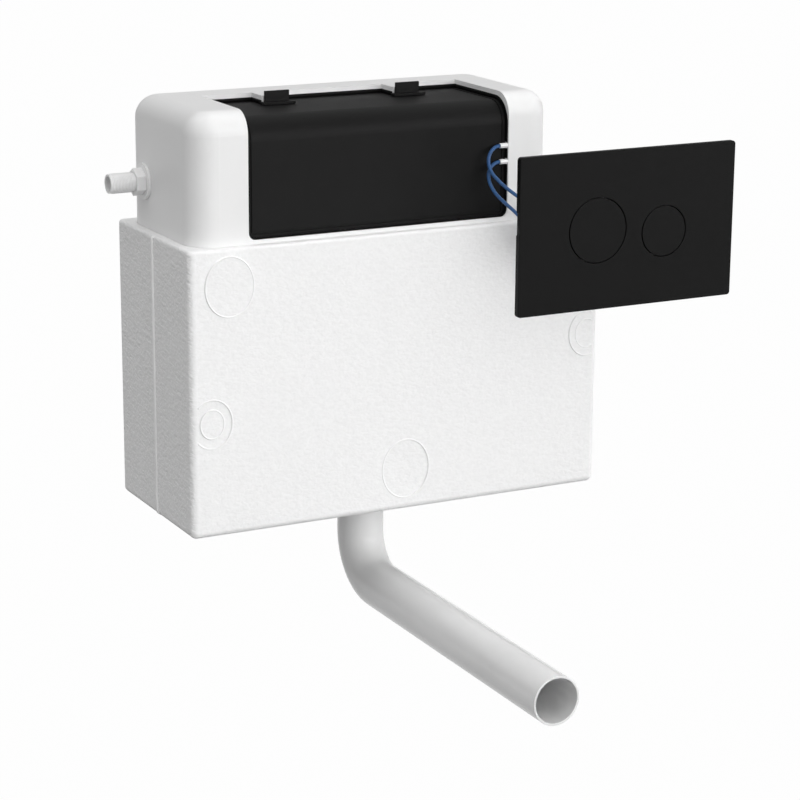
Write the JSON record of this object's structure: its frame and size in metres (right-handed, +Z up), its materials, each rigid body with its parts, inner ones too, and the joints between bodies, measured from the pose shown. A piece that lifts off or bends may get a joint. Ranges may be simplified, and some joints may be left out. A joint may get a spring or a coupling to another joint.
{
  "type": "concealed toilet cistern",
  "caption": "Low in-wall cistern in a foam jacket, with a wrap-over cover, a side inlet, a bent flush pipe and a remote flush plate on two air hoses.",
  "frame": {"origin": "midway between the two wall fixing holes, on the wall face", "axes": "+Y into the wall, +X to the right seen from the room, +Z up"},
  "size_m": [0.5248, 0.443, 0.479],
  "materials": {
    "tank_plastic": "satin moulded polyethylene",
    "foam": "matt expanded polystyrene",
    "valve_plastic": "smooth white moulding",
    "black_rubber": "matt",
    "grey_plastic": "smooth grey moulding",
    "pipe_plastic": "smooth drawn pipe",
    "steel": "bright drawn wire",
    "hose_plastic": "smooth blue tube",
    "plate_plastic": "satin black",
    "frame_plastic": "plain black moulding",
    "cover_plastic": "fine-grained black polypropylene",
    "grey_rubber": "soft foam rubber",
    "red_rubber": "smooth silicone",
    "float_plastic": "smooth pale blue moulding",
    "blue_plastic": "smooth blue moulding"
  },
  "bodies": {
    "cistern": {"tank": "tank_plastic", "front_jacket": "foam", "rear_jacket": "foam", "valve_base": "valve_plastic", "valve_washer": "black_rubber", "valve_backnut": "valve_plastic", "valve_tower": "valve_plastic", "actuator_housing": "grey_plastic", "pipe_nut": "valve_plastic", "pipe_seal": "black_rubber", "flush_pipe": "pipe_plastic", "fill_valve_body": "valve_plastic", "inlet_seal": "black_rubber", "inlet_collar": "valve_plastic", "inlet_backnut": "valve_plastic", "fill_diaphragm": "black_rubber", "fill_cap": "grey_plastic", "lever_pin": "steel", "hose_ferrules": "valve_plastic", "inner_hose_full": "hose_plastic", "inner_hose_half": "hose_plastic", "outer_hose_full": "hose_plastic", "outer_hose_half": "hose_plastic", "flush_plate": "plate_plastic", "plate_frame": "frame_plastic", "full_pump_case": "frame_plastic", "half_pump_case": "frame_plastic", "full_bellows": "black_rubber", "half_bellows": "black_rubber", "full_spring": "steel", "half_spring": "steel", "plate_studs": "steel", "stud_nuts": "steel"},
    "cover": {"access_cover": "cover_plastic", "cover_gasket": "grey_rubber"},
    "left_latch": {"left_latch": "cover_plastic"},
    "right_latch": {"right_latch": "cover_plastic"},
    "plunger": {"overflow_tube": "valve_plastic", "seal_retainer": "grey_plastic", "seat_seal": "red_rubber", "full_float": "float_plastic"},
    "full_piston": {"full_piston": "blue_plastic", "lift_yoke": "grey_plastic"},
    "half_piston": {"half_piston": "blue_plastic", "half_float": "float_plastic"},
    "fill_float": {"fill_float": "float_plastic", "adjust_rod": "grey_plastic"},
    "float_lever": {"float_lever": "blue_plastic"},
    "full_button": {"full_button": "plate_plastic"},
    "half_button": {"half_button": "plate_plastic"}
  },
  "joints": [
    {"name": "cover_lift", "type": "slide", "parent": "cistern", "child": "cover", "axis": [0, 0, 1], "range_m": [0, 0.12]},
    {"name": "left_latch_tilt", "type": "hinge", "parent": "cover", "child": "left_latch", "pos_m": [-0.0819, -0.0802, 0.0455], "axis": [-1, 0, 0], "range_deg": [0, 7], "stiffness_Nm_per_rad": 0.05},
    {"name": "right_latch_tilt", "type": "hinge", "parent": "cover", "child": "right_latch", "pos_m": [0.0471, -0.0802, 0.0455], "axis": [-1, 0, 0], "range_deg": [0, 7], "stiffness_Nm_per_rad": 0.05},
    {"name": "full_press", "type": "slide", "parent": "cistern", "child": "full_button", "axis": [0, 1, 0], "range_m": [0, 0.006], "stiffness_N_per_m": 600, "springref_m": -0.004, "deforming": ["full_bellows", "full_spring"]},
    {"name": "half_press", "type": "slide", "parent": "cistern", "child": "half_button", "axis": [0, 1, 0], "range_m": [0, 0.006], "stiffness_N_per_m": 500, "springref_m": -0.004, "deforming": ["half_bellows", "half_spring"]},
    {"name": "full_piston_lift", "type": "slide", "parent": "cistern", "child": "full_piston", "axis": [0, 0, 1], "range_m": [0, 0.012]},
    {"name": "plunger_lift", "type": "slide", "parent": "cistern", "child": "plunger", "axis": [0, 0, 1], "range_m": [0, 0.012]},
    {"name": "half_piston_lift", "type": "slide", "parent": "cistern", "child": "half_piston", "axis": [0, 0, 1], "range_m": [0, 0.012]},
    {"name": "fill_float_rise", "type": "slide", "parent": "cistern", "child": "fill_float", "axis": [0, 0, 1], "range_m": [0, 0.015]},
    {"name": "lever_swing", "type": "hinge", "parent": "cistern", "child": "float_lever", "pos_m": [-0.1606, -0.047, 0.019], "axis": [0, -1, 0], "range_deg": [0, 21.6]}
  ],
  "couplings": [
    {"joint": "full_piston_lift", "follows": "full_press", "ratio": 2},
    {"joint": "plunger_lift", "follows": "full_press", "ratio": 2},
    {"joint": "half_piston_lift", "follows": "half_press", "ratio": 2},
    {"joint": "lever_swing", "follows": "fill_float_rise", "rad_per_m": 25.06}
  ]
}
